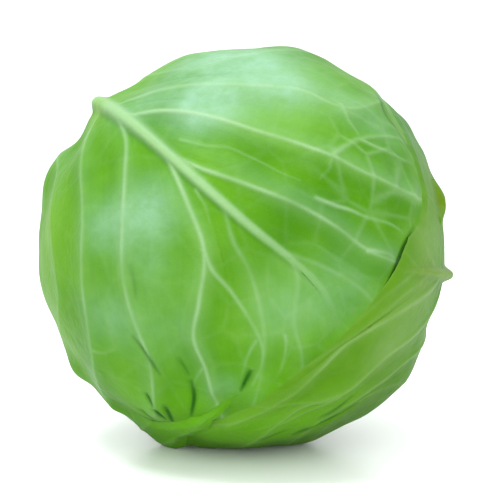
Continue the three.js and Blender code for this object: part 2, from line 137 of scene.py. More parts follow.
# Front view of the head in the photograph's frame: pixels, head radii and degrees
VIEW_CENTRE = (242.5, 246.0)
VIEW_RADIUS = 202.0
VIEW_DISTANCE = 10.6
VIEW_ELEVATION = 8.0
IMAGE_SIZE = 483
SENSOR = 36.0

# Studio, in metres: floor, sky, and lights by direction, distance, size, watts and colour
FLOOR_HALF, FLOOR_FAR = 8.0, 14.0
SKY_COLOUR, SKY_STRENGTH = (0.97, 0.99, 1.0, 1.0), 1.5
LIGHTS = {
    "top": ((-0.263, -0.06, 0.963), 1.3, 0.5, 15, (0.92, 0.98, 1.0)),
    "front": ((0.08, -0.80, 0.60), 1.6, 1.0, 3, (1.0, 1.0, 0.98)),
    "low": ((0.10, -0.987, 0.12), 1.6, 0.35, 6, (1.0, 1.0, 0.98)),
}


# Directions from the centre of the head

def unit(v):
    v = np.asarray(v, float)
    return v / np.linalg.norm(v, axis=-1, keepdims=True)


def smooth(value, low, high):
    t = np.clip((value - low) / (high - low), 0, 1)
    return t * t * (3 - 2 * t)


tilt = math.radians(VIEW_ELEVATION)
view_right = np.array((1.0, 0.0, 0.0))
view_up = np.array((0.0, math.sin(tilt), math.cos(tilt)))
view_near = np.cross(view_right, view_up)


def from_view(right, up, near):
    return unit(right * view_right + up * view_up + near * view_near)


def seen(x, y):
    """The surface point seen at a pixel of the front view."""
    dx, dy = x - VIEW_CENTRE[0], VIEW_CENTRE[1] - y
    turn = math.atan2(dy, dx)
    share = min(math.hypot(dx, dy) / VIEW_RADIUS, 0.9999)
    ray = math.atan(share * math.tan(math.asin(1 / VIEW_DISTANCE)))
    reach = VIEW_DISTANCE * math.cos(ray) - math.sqrt(1 - (VIEW_DISTANCE * math.sin(ray)) ** 2)
    away = math.atan2(reach * math.sin(ray), VIEW_DISTANCE - reach * math.cos(ray))
    return from_view(math.sin(away) * math.cos(turn), math.sin(away) * math.sin(turn), math.cos(away))


def line_seen(*pixels):
    return [seen(x, y) for x, y in pixels]


def spots(*rows):
    """Soft round patches on the front: pixel, strength and width in degrees."""
    return [(seen(x, y), strength, width) for x, y, strength, width in rows]


def rim(angle, lean=0):
    """A point on the rim of the front view, or leaning to the front by an angle."""
    turn, tip = math.radians(angle), math.radians(lean)
    return from_view(math.cos(tip) * math.cos(turn), math.cos(tip) * math.sin(turn), math.sin(tip))


stem_axis = from_view(-0.189, 0.176, -0.966)
stem_right = unit(view_right - stem_axis * (view_right @ stem_axis))
stem_up = np.cross(stem_right, stem_axis)


def around(turn, away):
    """A point at a turn round the stem, as seen from the front, and an angle away from it."""
    t, a = math.radians(turn), math.radians(away)
    side = math.cos(t) * stem_right + math.sin(t) * stem_up
    return math.cos(a) * stem_axis + math.sin(a) * side


def under(turn, away):
    """A point under the head: turn from the front to the right, and angle from straight down."""
    t, a = math.radians(turn), math.radians(away)
    return np.array((math.sin(a) * math.sin(t), -math.sin(a) * math.cos(t), -math.cos(a)))


# Swellings and hollows of the head: place, height and width in degrees
SWELLINGS = [
    (rim(2), -1.2, 6), (rim(13.5), 3.4, 5.5), (rim(27), 1.4, 6), (rim(37), 1.5, 5), (rim(45), 1.6, 14),
    (rim(50), 1.5, 5), (rim(75), 2.8, 10), (rim(94), -2.2, 12), (rim(123), -5.4, 8), (rim(134.5), -1.8, 7),
    (rim(121, 17), -3, 10), (rim(123, -17), -3, 10), (rim(143.5), -4, 6),
    (rim(147, 15), -2.2, 8), (rim(144, -15), -2.6, 8), (rim(161), 4.2, 8), (rim(175), 1.4, 6),
    (rim(190), 1.8, 10), (rim(217), 4.4, 6), (rim(229.5), 3.4, 5), (rim(238), 0.8, 8), (rim(251), 5.6, 9),
    (rim(290), 2.6, 9), (rim(306), 2.8, 9), (rim(321), 5, 12), (rim(341), -4, 8), (rim(355), -1.6, 5),
]


def patches(places, directions):
    """The sum of soft round patches: place, strength and width in degrees."""
    total = np.zeros(len(directions))
    for at, strength, width in places:
        apart = np.arccos(np.clip(directions @ at, -1, 1)) / math.radians(width)
        total += strength * np.exp(-apart ** 2)
    return total


def ripple(directions, seed, waves, length):
    """A soft, seeded unevenness between about -1 and 1, with bumps of a length in millimetres."""
    rng = np.random.default_rng(seed)
    total = np.zeros(len(directions))
    for _ in range(waves):
        axis = unit(rng.normal(size=3))
        pitch = 2 * math.pi * HEAD_RADIUS / (length * rng.uniform(0.7, 1.4))
        total += np.sin(pitch * (directions @ axis) + rng.uniform(0, 2 * math.pi))
    return total / math.sqrt(waves / 2) / 1.6


def head_radius(directions):
    radius = HEAD_RADIUS + patches(SWELLINGS, directions)
    for height, length, seed in UNEVEN:
        radius += height * ripple(directions, seed, UNEVEN_WAVES, length)
    return radius


def place(directions, depth):
    """Points at a depth under the surface. Over the flat spot, every layer moves up alike."""
    surface = head_radius(directions)
    points = directions * (surface - depth)[:, None]
    lift = np.maximum(0, -(HEAD_HEIGHT + surface * directions[:, 2]))
    points[:, 2] += HEAD_HEIGHT + lift
    return points


def over_flat(directions):
    """1 over the flat spot, fading to 0 as the surface rises round it."""
    rise = HEAD_HEIGHT + head_radius(directions) * directions[:, 2]
    return 1 - smooth(rise, FLAT_CLEAR, FLAT_CLEAR + FLAT_FADE)


# Lines on the head

def spline(points, count):
    """A smooth line through points, at even steps."""
    p = np.asarray(points, float)
    if len(p) == 2:
        p = np.array((p[0], unit(p[0] + p[1]), p[1]))
    ends = np.vstack((2 * p[0] - p[1], p, 2 * p[-1] - p[-2]))
    dense = []
    for i in range(len(p) - 1):
        a, b, c, d = ends[i:i + 4]
        t0, t1, t2 = (np.linalg.norm(q) ** 0.5 for q in (b - a, c - b, d - c))
        start = ((b - a) / t0 - (c - a) / (t0 + t1) + (c - b) / t1) * t1
        stop = ((c - b) / t1 - (d - b) / (t1 + t2) + (d - c) / t2) * t1
        s = np.linspace(0, 1, 40, endpoint=False)[:, None]
        dense.append((2 * s ** 3 - 3 * s ** 2 + 1) * b + (s ** 3 - 2 * s ** 2 + s) * start
                     + (-2 * s ** 3 + 3 * s ** 2) * c + (s ** 3 - s ** 2) * stop)
    dense = unit(np.vstack((*dense, p[-1:])))
    return evenly(dense, count)


def length_of(line):
    return HEAD_RADIUS * np.linalg.norm(np.diff(line, axis=0), axis=1).sum()


def evenly(line, count):
    steps = np.concatenate(([0], np.cumsum(np.linalg.norm(np.diff(line, axis=0), axis=1))))
    at = np.linspace(0, steps[-1], count)
    return unit(np.stack([np.interp(at, steps, line[:, k]) for k in range(3)], axis=1))


def on_line(line, shares):
    at = np.clip(np.asarray(shares), 0, 1) * (len(line) - 1)
    return unit(np.stack([np.interp(at, np.arange(len(line)), line[:, k]) for k in range(3)], axis=-1))


def share_nearest(line, direction):
    return int(np.argmin(np.linalg.norm(line - direction, axis=1))) / (len(line) - 1)


class Nearest:
    """Distances in millimetres from directions to a cloud of points, with the nearest one's values."""

    def __init__(self, points, values=None):
        self.tree = kdtree.KDTree(len(points))
        for i, point in enumerate(points):
            self.tree.insert(Vector(point), i)
        self.tree.balance()
        self.values = values

    def __call__(self, directions):
        found = [self.tree.find(Vector(d))[1:] for d in directions]
        index = np.array([f[0] for f in found])
        apart = HEAD_RADIUS * np.array([f[1] for f in found])
        return (apart, None) if self.values is None else (apart, self.values[index])

    def second(self, directions):
        """Distances to the nearest and the second nearest point."""
        found = [self.tree.find_n(Vector(d), 2) for d in directions]
        return (HEAD_RADIUS * np.array([f[0][2] for f in found]),
                HEAD_RADIUS * np.array([f[1][2] for f in found]))


# Leaves, outermost first: midrib, edges at the base, ribs from the midrib to the margin

def clasp(turn, side):
    """The start of a leaf's edge, where it clasps the stem."""
    return [around(turn + side * by, LEAF_BASE_ANGLE + out) for by, out in CLASP]


LOWER_LEAF = dict(
    piece="leaf_lower", node="lower_leaf", slot="lower_leaf", seed=11, tip=0.92, wave=0.8,
    knee=around(240, 78), ridge=(0.8, 2.0), pleat=0.5,
    midrib=[around(214, LEAF_BASE_ANGLE), around(224, 45), around(240, 78), seen(172, 436), seen(205, 420),
            seen(237, 397)],
    edges=([*clasp(214, -1), around(180, 36), around(176, 54)],
           [*clasp(214, 1), around(250, 34), around(257, 52)]),
    ribs=([[around(220, 34), around(206, 50), around(188, 64)],
           [around(228, 54), around(214, 66), around(204, 74)],
           [around(235, 68), around(228, 76), around(222, 82)],
           [around(240, 80), around(240, 89), seen(150, 423)],
           [seen(190, 428), seen(188, 421)]],
          [[around(220, 34), around(238, 50), around(256, 66)],
           [around(228, 54), around(242, 68), around(252, 80)],
           [around(238, 75), around(246, 86), around(252, 93)],
           [seen(185, 430), seen(193, 438)]]),
    strengths=({4: 0.3}, {3: 0.3}),
    # Lighter green near the floor: painted light from below
    painted_underlight=spots((180, 430, 1.0, 14), (215, 420, 0.8, 8)),
)

RIGHT_LEAF = dict(
    piece="leaf_right", node="right_leaf", slot="right_leaf", seed=23, tip=0.93, wave=0.55,
    knee=seen(450, 275), ridge=(4.0, 2.7), pleat=0.25,
    midrib=[around(-8, LEAF_BASE_ANGLE), around(-8, 45), around(-8, 75), seen(450, 275), seen(425, 271),
            seen(396, 269)],
    edges=([*clasp(-8, -1), around(-46, 38), around(-54, 70)],
           [*clasp(-8, 1), around(34, 36), around(46, 58)]),
    ribs=([[around(-8, 45), around(-28, 58), around(-48, 72), around(-66, 79)],
           [around(-8, 66), around(-32, 80), seen(385, 386), seen(345, 409), around(-80, 84)],
           [around(-8, 84), seen(428, 335), seen(395, 370), seen(320, 420), under(70, 12), under(130, 28)],
           [seen(449, 279), seen(425, 320), seen(385, 358), seen(345, 392), seen(300, 408), under(-30, 11),
            under(-145, 28)],
           [seen(440, 274), seen(402, 310), seen(350, 341), seen(290, 395), seen(205, 432), under(-60, 30)],
           [seen(428, 271), seen(395, 303), seen(345, 342), seen(285, 381)],
           [seen(416, 271), seen(390, 292), seen(350, 328)]],
          [[around(-8, 40), around(16, 55), around(38, 70), around(50, 82)],
           [around(-8, 72), around(8, 82), around(22, 88), seen(408, 142)],
           [seen(449, 273), seen(445, 245), seen(440, 215), seen(424, 186)],
           [seen(437, 273), seen(428, 252), seen(421, 226)],
           [seen(420, 271), seen(411, 259), seen(405, 249)]]),
    strengths=({1: 0.4, 5: 0.45, 6: 0.4}, {1: 0.2, 2: 0.3, 3: 0.4, 4: 0.4}),
    veins=[line_seen((340, 395), (325, 401), (300, 403), (255, 408)),
           line_seen((340, 396), (310, 410), (290, 420), (257, 431))],
    lifts=spots((405, 248, 0.8, 6), (397, 266, 0.7, 5)),
    folds=[(1.8, line_seen((436, 178), (442, 192), (444, 206), (441, 220)))],
    # Creases: shallow grooves with painted shade
    creases=[(0.9, line_seen((292, 436), (312, 427), (333, 418), (357, 403))),
             (0.6, line_seen((318, 419), (338, 408), (353, 396))),
             (0.5, line_seen((262, 441), (276, 436), (290, 431)))],
    cool=spots((400, 115, 1.0, 17)),
    # Lighter green near the floor: painted light from below
    painted_underlight=spots((250, 432, 1.0, 12), (300, 425, 0.7, 10), (205, 436, 1.0, 9), (340, 400, 0.4, 9)),
    warm=spots((452, 275, 0.9, 5), (442, 200, 0.8, 7), (425, 273, 0.3, 6)),
    # Pale patches: wax bloom, partly painted highlight
    bloom_and_highlight=spots((425, 292, 0.55, 10), (385, 352, 0.4, 6), (430, 240, 0.6, 8), (400, 330, 0.3, 9)),
)

FRONT_LEAF = dict(
    piece="leaf_front", node="front_leaf", slot="front_leaf", seed=37, tip=0.9, wave=1.0,
    knee=seen(99, 104), ridge=(3.7, 3.4),
    midrib=[around(137, LEAF_BASE_ANGLE), around(137, 45), seen(99, 104), seen(145, 134), seen(205, 187),
            seen(250, 226), seen(290, 258), seen(322, 288), seen(345, 345), seen(354, 360)],
    edges=([*clasp(137, -1), around(92, 36), around(78, 60)],
           [*clasp(137, 1), around(178, 36), around(188, 56)]),
    ribs=([[around(137, 30), around(118, 46), around(96, 60), around(72, 72)],
           [around(137, 50), around(124, 74), seen(200, 68), seen(250, 55), around(60, 84)],
           [seen(108, 110), seen(140, 96), seen(175, 88), seen(240, 87), seen(300, 92), seen(345, 109),
            around(40, 82)],
           [seen(124, 119), seen(165, 112), seen(200, 116), seen(260, 133), seen(330, 157), seen(370, 176),
            seen(418, 197), around(13, 86)],
           [seen(170, 153), seen(200, 168), seen(250, 186), seen(300, 207), seen(335, 227), seen(368, 251),
            seen(418, 268)],
           [seen(283, 252), seen(318, 264), seen(352, 282), seen(385, 312)]],
          [[around(137, 34), around(154, 48), around(176, 60), around(200, 66)],
           [around(137, 52), around(150, 70), seen(55, 180), seen(53, 250), seen(57, 300), around(219, 74)],
           [seen(100, 109), seen(86, 142), seen(84, 220), seen(83, 280), seen(93, 348), around(236, 79)],
           [seen(118, 116), seen(127, 145), seen(125, 200), seen(127, 290), seen(150, 364), around(249, 92)],
           [seen(165, 152), seen(188, 203), seen(205, 252), seen(200, 300), seen(194, 335), seen(206, 368),
            seen(222, 425), seen(228, 442)],
           [seen(224, 203), seen(233, 240), seen(250, 272), seen(264, 335), seen(260, 378), seen(253, 412),
            seen(252, 437)],
           [seen(292, 260), seen(298, 280), seen(294, 320), seen(302, 355), seen(306, 398),
            seen(314, 422)]]),
    strengths=({1: 0.4, 2: 0.65, 5: 0.45}, {1: 0.45, 2: 0.6, 3: 0.75, 5: 0.4, 6: 0.35}),
    veins=[line_seen((204, 248), (212, 268), (230, 290), (250, 320), (262, 345), (262, 362), (252, 385)),
           line_seen((316, 198), (335, 205), (350, 209), (368, 217), (390, 223), (405, 232)),
           line_seen((330, 157), (345, 146), (360, 138), (372, 136), (390, 136), (408, 142)),
           line_seen((360, 138), (380, 147), (405, 160)),
           line_seen((340, 106), (348, 120), (358, 132), (360, 138)),
           line_seen((365, 250), (385, 253), (397, 258))],
    fine=[line_seen((180, 139), (205, 145), (228, 147), (245, 154), (265, 163), (285, 174), (300, 180)),
          line_seen((190, 70), (230, 60), (260, 53), (285, 60), (293, 62)),
          line_seen((93, 348), (105, 352), (113, 350)),
          line_seen((285, 335), (286, 345), (281, 370)),
          line_seen((256, 340), (248, 355), (241, 380)),
          line_seen((196, 190), (206, 208), (210, 222)),
          line_seen((204, 365), (195, 380), (192, 390)),
          line_seen((330, 160), (328, 170), (320, 178))],
    # Creases: shallow grooves with painted shade
    creases=[(0.7, line_seen((132, 333), (145, 352), (161, 377))),
             (0.5, line_seen((176, 358), (183, 368), (189, 378))),
             (0.3, line_seen((131, 262), (134, 280), (136, 300))),
             (1.1, line_seen((138, 409), (146, 416), (153, 423))),
             (1.0, line_seen((145, 392), (149, 399), (154, 406))),
             (1.2, line_seen((154, 407), (160, 415), (166, 422))),
             (1.2, line_seen((164, 405), (169, 417), (174, 428))),
             (1.1, line_seen((190, 380), (193, 398), (190, 420))),
             (1.1, line_seen((252, 368), (246, 381), (240, 394)))],
    shadows=[(1.0, line_seen((419, 224), (407, 245), (397, 268), (383, 295))),
             (0.9, line_seen((374, 90), (384, 112), (400, 132), (417, 157), (428, 185)))],
    warm=spots((97, 112, 0.9, 5), (48, 230, 0.8, 12), (60, 330, 0.5, 10)),
    # Lighter green near the floor: painted light from below
    painted_underlight=spots((150, 410, 0.5, 9), (200, 405, 0.6, 8), (260, 390, 0.5, 7)),
    deep=spots((292, 214, 0.9, 8), (255, 163, 0.6, 7), (330, 192, 0.8, 8), (345, 240, 0.7, 7),
               (388, 205, 0.6, 7), (385, 262, 0.7, 6), (352, 302, 0.6, 5), (318, 366, 0.7, 6),
               (268, 365, 0.4, 6), (240, 260, 0.4, 8), (400, 160, 0.5, 7), (180, 400, 0.4, 9),
               (285, 240, 0.5, 6)),
    # Pale patches: wax bloom, and painted highlight where the top light catches the leaf
    bloom_and_highlight=spots((235, 60, 1.1, 18), (205, 106, 1.2, 8), (285, 85, 0.7, 9), (345, 100, 0.3, 10),
                (385, 130, 0.3, 7), (148, 212, 0.95, 8), (105, 225, 0.55, 8), (150, 265, 0.3, 7),
                (285, 305, 0.35, 9), (108, 318, 0.45, 8), (160, 330, 0.2, 10), (140, 105, 0.5, 8),
                (225, 385, 0.3, 4), (340, 290, 0.3, 9)),
    net=spots((378, 165, 0.7, 16), (350, 230, 0.15, 9), (290, 330, 0.15, 14)),
)


def plain_leaf(piece, node, seed, turn, spread, reach, pairs):
    """A leaf by rule, straight out from the stem: ribs in pairs, widest a third of the way along."""
    def ribs_on(side):
        ribs = []
        for pair in range(1, pairs + 1):
            start = LEAF_BASE_ANGLE + (reach - LEAF_BASE_ANGLE) * pair / (pairs + 1.2)
            run = 16 - 6 * pair / pairs
            wide = side * spread * math.sin(math.pi * (0.36 + 0.5 * pair / pairs))
            ribs.append([around(turn, start), around(turn + wide * 0.5, start + 0.4 * run),
                         around(turn + wide, start + run)])
        return ribs
    edges = tuple([*clasp(turn, side), around(turn + side * 0.86 * spread, LEAF_BASE_ANGLE + 17)]
                  for side in (-1, 1))
    return dict(piece=piece, node=node, slot="inner_leaf", seed=seed, tip=0.88, wave=1.0,
                knee=around(turn, 60), ridge=(3.4, 5.0),
                midrib=[around(turn, away) for away in (LEAF_BASE_ANGLE, 40, 70, 95, reach)],
                edges=edges, ribs=(ribs_on(-1), ribs_on(1)))


LEAVES = [
    LOWER_LEAF,
    RIGHT_LEAF,
    FRONT_LEAF,
    plain_leaf("leaf_upper_inner", "upper_inner_leaf", seed=41, turn=58, spread=46, reach=112, pairs=4),
    plain_leaf("leaf_lower_inner", "lower_inner_leaf", seed=53, turn=278, spread=46, reach=112, pairs=4),
]


class Leaf:
    """A leaf laid out on the unit sphere as two fine grids, one on each side of its midrib."""

    def __init__(self, shape):
        self.shape = shape
        self.midrib = spline(shape["midrib"], MIDRIB_POINTS)
        self.lines = [self.lines_on(side) for side in (0, 1)]
        self.weigh_ribs()
        self.lay_grids()
        self.number()
        self.outline = self.border_line()
        self.cone = self.coarse_cone()

    def lines_on(self, side):
        shape, midrib = self.shape, self.midrib
        lines = [(0.0, spline(shape["edges"][side], LINE_POINTS))]
        for rib in shape["ribs"][side]:
            share = share_nearest(midrib, rib[0])
            lines.append((share, spline([on_line(midrib, share), *rib[1:]], LINE_POINTS)))
        tip = on_line(midrib, shape["tip"] + (1 - shape["tip"]) * np.linspace(0, 1, 9))
        lines.append((shape["tip"], spline(tip, LINE_POINTS)))
        return lines

    def weigh_ribs(self):
        """The ribs, each with its strength."""
        strengths = self.shape.get("strengths", ({}, {}))
        self.ribs = [(strengths[side].get(i, 1.0), line) for side in (0, 1)
                     for i, (_, line) in enumerate(self.lines[side][1:-1])]

    def across(self, side, shares, rows):
        """Lines from the midrib to the margin at shares along the midrib."""
        at = np.array([share for share, _ in self.lines[side]])
        stack = np.array([on_line(line, np.linspace(0, 1, rows)) for _, line in self.lines[side]])
        index = np.clip(np.searchsorted(at, shares, side="right") - 1, 0, len(at) - 2)
        weight = ((shares - at[index]) / (at[index + 1] - at[index]))[:, None, None]
        return unit((1 - weight) * stack[index] + weight * stack[index + 1])

    def lay_grids(self):
        marks = np.unique(np.round([s for lines in self.lines for s, _ in lines], 5))
        ends = [self.across(side, marks, 5) for side in (0, 1)]
        gaps = np.max([np.linalg.norm(np.diff(e, axis=0), axis=2).max(axis=1) for e in ends], axis=0)
        shares = []
        for low, high, gap in zip(marks, marks[1:], gaps):
            count = max(2, math.ceil(HEAD_RADIUS * gap / FINE_STEP))
            shares.extend(np.linspace(low, high, count, endpoint=False))
        self.shares = np.array([*shares, marks[-1]])
        longest = max(length_of(line) for lines in self.lines for _, line in lines)
        rows = INNER_EVERY * math.ceil(longest / FINE_STEP / INNER_EVERY / 1.15) + 1
        self.grids = []
        for side in (0, 1):
            grid = self.across(side, self.shares, rows)
            grid = self.ease(grid)
            self.wave_margin(grid, side)
            self.grids.append(unit(grid))

    def ease(self, grid):
        """Rounds the grid off where its columns cross a rib."""
        eased = grid.copy()
        for _ in range(EASE_ROUNDS):
            eased[1:-1] = 0.5 * eased[1:-1] + 0.25 * (eased[:-2] + eased[2:])
            eased[0], eased[-1], eased[:, 0] = grid[0], grid[-1], grid[:, 0]
        return eased

    def wave_margin(self, grid, side):
        """Waves the margin in its own surface."""
        margin = grid[:, -1]
        steps = np.linalg.norm(np.diff(margin, axis=0), axis=1)
        travel = HEAD_RADIUS * np.concatenate(([0], np.cumsum(steps)))
        rng = np.random.default_rng(self.shape["seed"] + side)
        wave = np.zeros(len(margin))
        for length, height in MARGIN_WAVES:
            wave += height * np.sin(2 * math.pi * travel / length + rng.uniform(0, FULL_TURN))
        calm = smooth(travel, 0, MARGIN_CALM) * smooth(travel[-1] - travel, 0, MARGIN_CALM)
        wave *= self.shape["wave"] * calm
        outwards = unit(margin - grid[:, -6])
        share = smooth(np.linspace(0, 1, grid.shape[1]), 0.7, 1)
        grid += (wave / HEAD_RADIUS)[:, None, None] * outwards[:, None] * share[None, :, None]

    def number(self):
        """Numbers the vertices: both grids share the midrib and the line of the tip."""
        columns, rows = self.grids[0].shape[:2]
        left = np.arange(columns * rows).reshape(columns, rows)
        right = np.full((columns, rows), -1)
        right[:, 0], right[-1] = left[:, 0], left[-1]
        new = right < 0
        right[new] = columns * rows + np.arange(new.sum())
        self.index = (left, right)
        self.directions = np.vstack((self.grids[0].reshape(-1, 3), self.grids[1][new]))
        column, row = np.meshgrid(self.shares, np.linspace(0, 1, rows), indexing="ij")
        self.column = np.concatenate((column.ravel(), 2 - column[new]))
        self.row = np.concatenate((row.ravel(), row[new]))

    def border_line(self):
        left, right = self.index
        loop = [*left[0, ::-1], *right[0, 1:], *right[1:, -1], *left[-2::-1, -1]]
        return self.directions[loop]

    def coarse_cone(self):
        """The leaf as a coarse sheet on the unit sphere, to tell what lies under it."""
        faces = []
        for grid in self.index:
            columns = picked(grid.shape[0], CONE_EVERY)
            rows = picked(grid.shape[1], CONE_EVERY)
            for a, b in zip(columns, columns[1:]):
                for c, d in zip(rows, rows[1:]):
                    faces.append((grid[a, c], grid[b, c], grid[b, d], grid[a, d]))
        return BVHTree.FromPolygons([tuple(d) for d in self.directions], faces)

    def covers(self, directions):
        """1 under this leaf, fading to 0 beyond its margin."""
        centre = Vector((0, 0, 0))
        inside = np.array([self.cone.ray_cast(centre, Vector(d))[0] is not None for d in directions])
        apart, _ = Nearest(self.outline)(directions)
        return np.where(inside, 1, 1 - smooth(apart, PRESS_FULL, PRESS_FULL + PRESS_FADE))

    def streaks(self):
        """Soft streaks that run with the ribs, between 0 and 1."""
        rng = np.random.default_rng(self.shape["seed"] + 9)
        long = length_of(self.midrib)
        total = np.zeros(len(self.column))
        for length in STREAK_LENGTHS:
            height, pitch, start = rng.uniform(0.4, 1.4), rng.uniform(0.6, 2), rng.uniform(0, FULL_TURN)
            bend = height * np.sin(2 * math.pi * self.row * pitch + start)
            total += np.sin(2 * math.pi * self.column * long / length + rng.uniform(0, FULL_TURN) + bend)
        return np.clip(0.5 + total / len(STREAK_LENGTHS), 0, 1)


def picked(count, every):
    return sorted({*range(0, count, every), count - 1})


# Relief of a leaf

def midrib_relief(leaf, directions):
    """A round ridge, stout up to the knee, then thinning to the tip: relief, mask and distance."""
    high, wide = leaf.shape["ridge"]
    share = np.linspace(0, 1, len(leaf.midrib))
    knee = share_nearest(leaf.midrib, leaf.shape["knee"])
    left = np.clip((1 - share) / (1 - knee), 0, 1)
    back = np.clip((knee - share) / knee, 0, 1)
    knob = np.exp(-((share - knee) * length_of(leaf.midrib) / KNOB_LENGTH) ** 2)
    height = (high - MIDRIB_TIP) * left ** 1.4 * (1 - 0.15 * back) + MIDRIB_TIP + KNOB * high * knob
    width = 1.0 + (wide - 1.0) * left ** 1.3 * (1 + 0.35 * back)
    fade = smooth(left, 0.05, 0.5)
    values = np.stack((height * (0.3 + 0.7 * fade), width, fade), axis=1)
    apart, near = Nearest(leaf.midrib, values)(directions)
    ridge = np.exp(-(apart / near[:, 1]) ** 3)
    foot = np.exp(-(apart / (2.2 * near[:, 1])) ** 2)
    return near[:, 0] * ((1 - MIDRIB_FOOT) * ridge + MIDRIB_FOOT * foot), ridge * near[:, 2], apart


def line_relief(lines, directions, height, width, fade=0.6, ends=False):
    """Raised lines with strengths, highest at their roots or in their middles: relief and mask."""
    points, values = [], []
    for strength, line in lines:
        line = line if isinstance(line, np.ndarray) else spline(line, 200)
        count = max(8, int(length_of(line) / 0.5))
        share = np.linspace(0, 1, count)
        power = strength * (np.sqrt(np.sin(math.pi * share)) if ends else 1 - fade * share)
        points.append(evenly(line, count))
        values.append(np.stack((power, width * (1 - 0.4 * share)), axis=1))
    apart, near = Nearest(np.vstack(points), np.vstack(values))(directions)
    crest = near[:, 0] * np.exp(-(apart / near[:, 1]) ** 2)
    return height * crest, near[:, 0] * np.exp(-(apart / (0.62 * near[:, 1])) ** 2)


def net_points(seed, step):
    """Seeded, evenly scattered points on the sphere, a step in millimetres apart."""
    count = int(4 * math.pi * (HEAD_RADIUS / step) ** 2)
    i = np.arange(count) + 0.5
    away, turn = np.arccos(1 - 2 * i / count), math.pi * (1 + 5 ** 0.5) * i
    points = np.stack((np.sin(away) * np.cos(turn), np.sin(away) * np.sin(turn), np.cos(away)), axis=1)
    jitter = np.random.default_rng(seed).normal(size=points.shape)
    return unit(points + jitter * NET_JITTER * step / HEAD_RADIUS)


def net(seed, step, directions, width):
    """A net of veins between scattered points: 1 on its threads, 0 between."""
    first, second = Nearest(net_points(seed, step)).second(directions)
    return np.exp(-((second - first) / width) ** 2)


def pleats(leaf, directions):
    """Broad pleats along the ribs, with the midrib between them."""
    midrib, rib, beside = midrib_relief(leaf, directions)
    pleat, halo = line_relief(leaf.ribs, directions, PLEAT_HEIGHT, PLEAT_WIDTH, PLEAT_FADE)
    pleat *= leaf.shape.get("pleat", 1.0)
    pleat = (pleat - PLEAT_MEAN) * smooth(beside, MIDRIB_CLEAR, PLEAT_FULL) * (1 - rib)
    return midrib, rib, pleat, halo * smooth(beside, MIDRIB_CLEAR, HALO_FULL) * (1 - rib)


def slope(leaf, directions, form):
    """How steeply a form falls away downwards from the light, between -1 and 1; it sets painted shade and
    painted highlight on the pleats.
    """
    upwards = LIGHT_FROM - directions * (directions @ LIGHT_FROM)[:, None]
    midrib, _, pleat, _ = pleats(leaf, unit(directions + upwards * SLOPE_STEP / HEAD_RADIUS))
    return np.clip((midrib + pleat - form) / SLOPE_STEP / SLOPE_FULL, -1, 1)


def leaf_relief(leaf, directions):
    """Relief of the outer face, and the masks that its colours follow."""
    shape = leaf.shape
    seed = shape["seed"]
    midrib, rib, pleat, halo = pleats(leaf, directions)
    fall = slope(leaf, directions, midrib + pleat)
    crest, vein = line_relief(leaf.ribs, directions, RIB_HEIGHT, RIB_WIDTH)
    for key, height, width, strength in VEINS:
        if key in shape:
            more, mask = line_relief([(1.0, line) for line in shape[key]], directions, height, width)
            crest, vein = np.maximum(crest, more), np.maximum(vein, strength * mask)
    vein *= 1 - VEIN_PATCHY + VEIN_PATCHY * ripple(directions, seed + 3, RIPPLE_WAVES, VEIN_PATCH)
    nets = sum(net(seed + i, step, directions, width) * share for i, (step, width, share) in enumerate(NETS))
    nets *= np.clip(NET_PLAIN + patches(shape.get("net", []), directions), 0, 1)
    relief = np.maximum(midrib, crest * (1 - rib)) + pleat + NET_HEIGHT * nets
    if "folds" in shape:
        relief += line_relief(shape["folds"], directions, 1.0, FOLD_WIDTH, ends=True)[0]
    # Flanks of the pleats turned from the light get painted shade, flanks turned to it a painted highlight
    masks = dict(vein=np.clip(vein, 0, 1) * (1 - rib), rib=rib, net=nets, halo=halo,
                 painted_shade=np.clip(fall, 0, 1), painted_highlight=np.clip(-fall, 0, 1))
    for key, depth, width in GROOVES:
        masks[key] = np.zeros(len(directions))
        if key in shape:
            groove, dark = line_relief(shape[key], directions, depth, width, ends=True)
            relief -= groove
            masks[key] = dark
    return np.maximum(relief, RELIEF_DEEPEST), masks


def leaf_piece(leaf, outside, material):
    """A leaf pressed down under the leaves outside it, with the masks of its colours."""
    shape, directions = leaf.shape, leaf.directions
    seed = shape["seed"]
    cover = sum((other.covers(directions) for other in outside), np.zeros(len(directions)))
    depth = cover * (BLADE + LEAF_GAP)
    relief, masks = leaf_relief(leaf, directions)
    inwards, _ = Nearest(leaf.outline)(directions)
    shown = np.clip(1 - cover, 0, 1) * (1 - over_flat(directions))
    relief *= smooth(inwards, MARGIN_CLEAR, MARGIN_FULL)
    curl = patches(shape.get("lifts", []), directions) * np.exp(-inwards / CURL_FADE)
    taper = (BLADE + LEAF_GAP - RIM_OVER) * (1 - smooth(inwards, 0, RIM_TAPER))
    outer = place(directions, depth + taper - shown * (relief + curl))
    thick = BLADE_RIM + RIM_ROUND * smooth(inwards, 0, 0.5 * RIM_TAPER)
    inner = place(directions, depth + np.maximum(BLADE, taper + thick) - shown * curl)
    points, faces, below, smooth_faces = leaf_faces(leaf, outer, inner)
    masks.update(margin=np.exp(-inwards / MARGIN_WIDTH), streak=leaf.streaks(),
                 tone=0.5 + 0.5 * ripple(directions, seed + 7, RIPPLE_WAVES, TONE_LENGTH))
    # Patches: bloom with painted highlight, warm and cool tints, deeper green, and painted light from below
    for key in ("bloom_and_highlight", "warm", "cool", "deep", "painted_underlight"):
        masks[key] = np.clip(patches(shape.get(key, []), directions), 0, 1)
    attributes = {key: np.concatenate((values, values[below])) for key, values in masks.items()}
    piece = mesh_piece(shape["piece"], points, faces, material, attributes, smooth_faces)
    hand_over(piece, shape["node"])


def hand_over(piece, node):
    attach(piece, "root")
    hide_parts(node)


